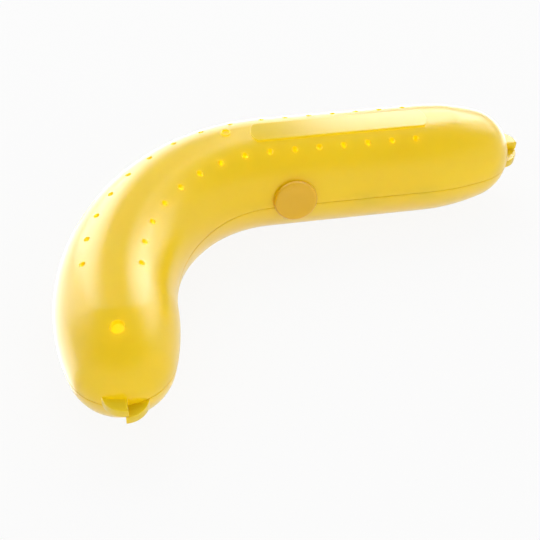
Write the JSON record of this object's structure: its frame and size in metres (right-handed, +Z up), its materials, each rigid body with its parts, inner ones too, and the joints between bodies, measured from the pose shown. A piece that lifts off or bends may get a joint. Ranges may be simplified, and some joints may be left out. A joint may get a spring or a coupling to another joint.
{
  "type": "banana carrying case",
  "caption": "Banana-shaped hard carrying case in translucent plastic: vented half shells on a side hinge, closed by a round flip latch.",
  "frame": {"origin": "middle of the case's box in plan, on the surface that the case lies on", "axes": "+Z up with the seam level, +X along the long leg towards its tip, +Y towards the outer side of the bend, where the hinge is"},
  "size_m": [0.2232, 0.1611, 0.0478],
  "materials": {
    "shell": "satin",
    "latch": "satin",
    "pin": "satin"
  },
  "bodies": {
    "base": {"lower_shell": "shell", "hinge_pin": "pin", "latch_pin": "pin"},
    "lid": {"upper_shell": "shell"},
    "latch": {"latch": "latch"}
  },
  "joints": [
    {"name": "lid_hinge", "type": "hinge", "parent": "base", "child": "lid", "pos_m": [0.01999, 0.07756, 0.0236], "axis": [-1, 0, 0], "range_deg": [0, 175]},
    {"name": "latch_flip", "type": "hinge", "parent": "base", "child": "latch", "pos_m": [-0.00231, 0.02297, 0.01934], "axis": [1, 0, 0], "range_deg": [0, 90]}
  ]
}
